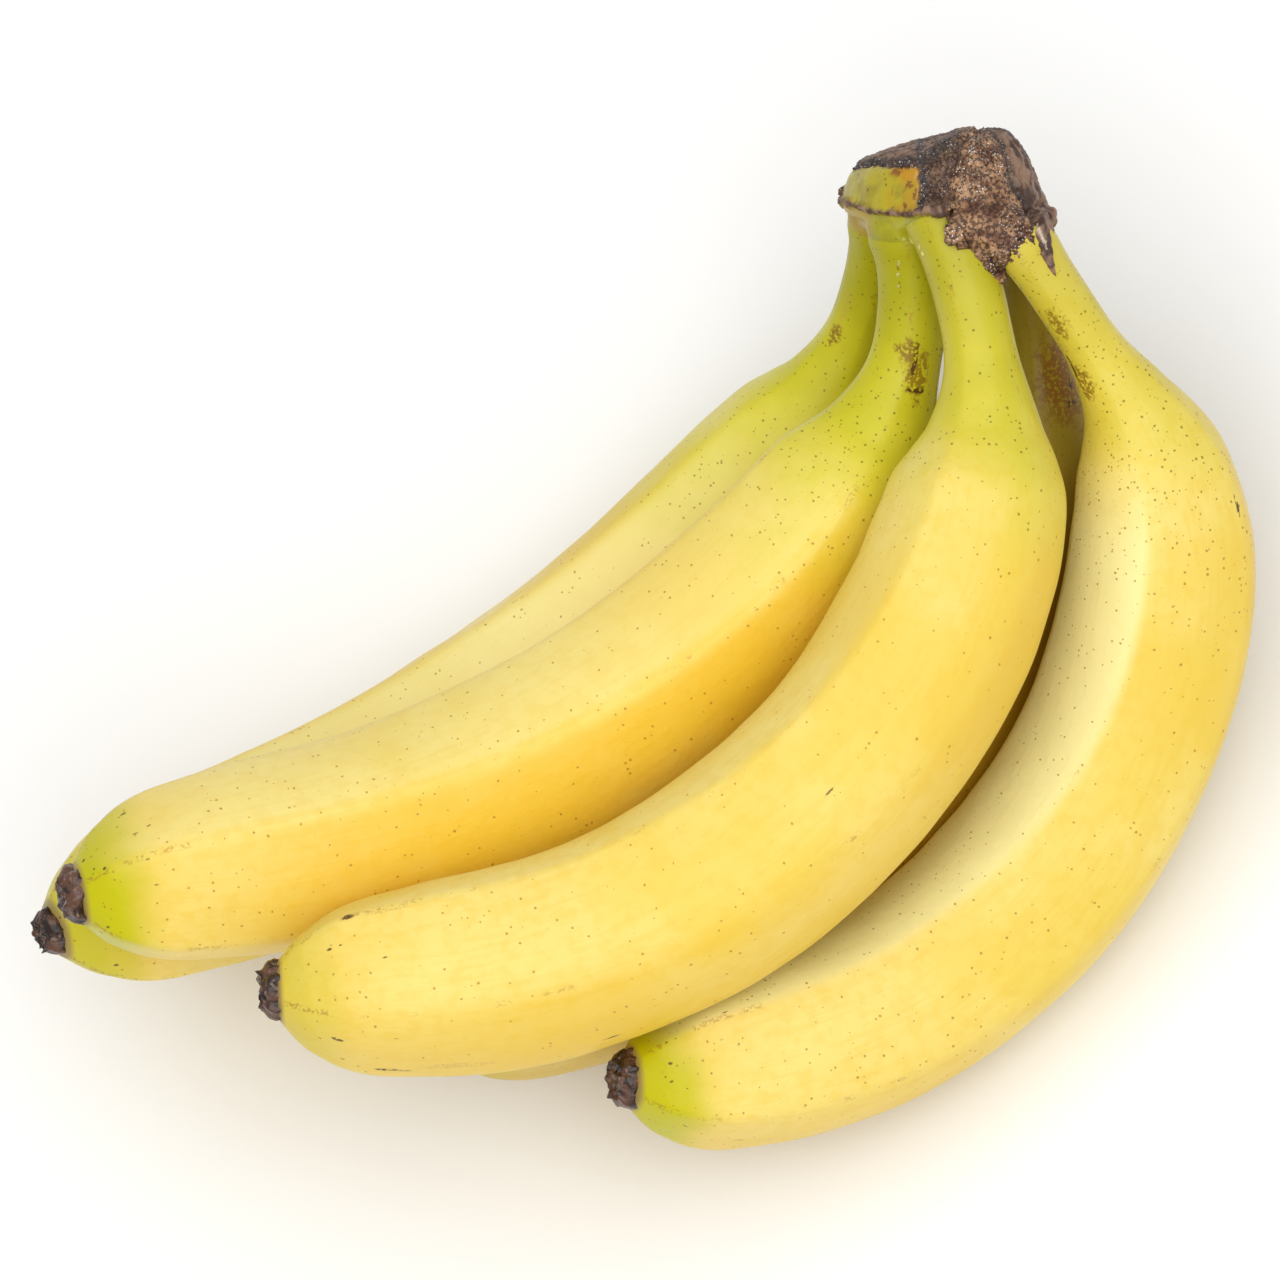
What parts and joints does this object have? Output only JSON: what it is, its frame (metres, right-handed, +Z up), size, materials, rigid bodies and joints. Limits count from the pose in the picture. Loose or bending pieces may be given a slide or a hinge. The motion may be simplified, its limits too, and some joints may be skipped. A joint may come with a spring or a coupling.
{
  "type": "bunch of bananas",
  "caption": "Hand of ripe curved bananas joined by their necks to a cut, dried crown, lying on a flat surface with the upper fruits resting over the lower ones.",
  "frame": {"origin": "on the surface that the bunch lies on, under the middle of its box", "axes": "+Z up; +X along the bunch, from the dark fruit tips towards the crown; +Y across it, towards the crown's side"},
  "size_m": [0.2398, 0.1626, 0.0988],
  "materials": {
    "peel": "satin ripe yellow peel, green at the neck and tip, with fine brown flecks",
    "crown": "dry, rough brown cut stalk over a green-yellow collar"
  },
  "bodies": {
    "root": {"crown": "crown", "banana_1": "peel", "banana_2": "peel", "banana_3": "peel", "banana_4": "peel", "banana_5": "peel"}
  },
  "joints": []
}
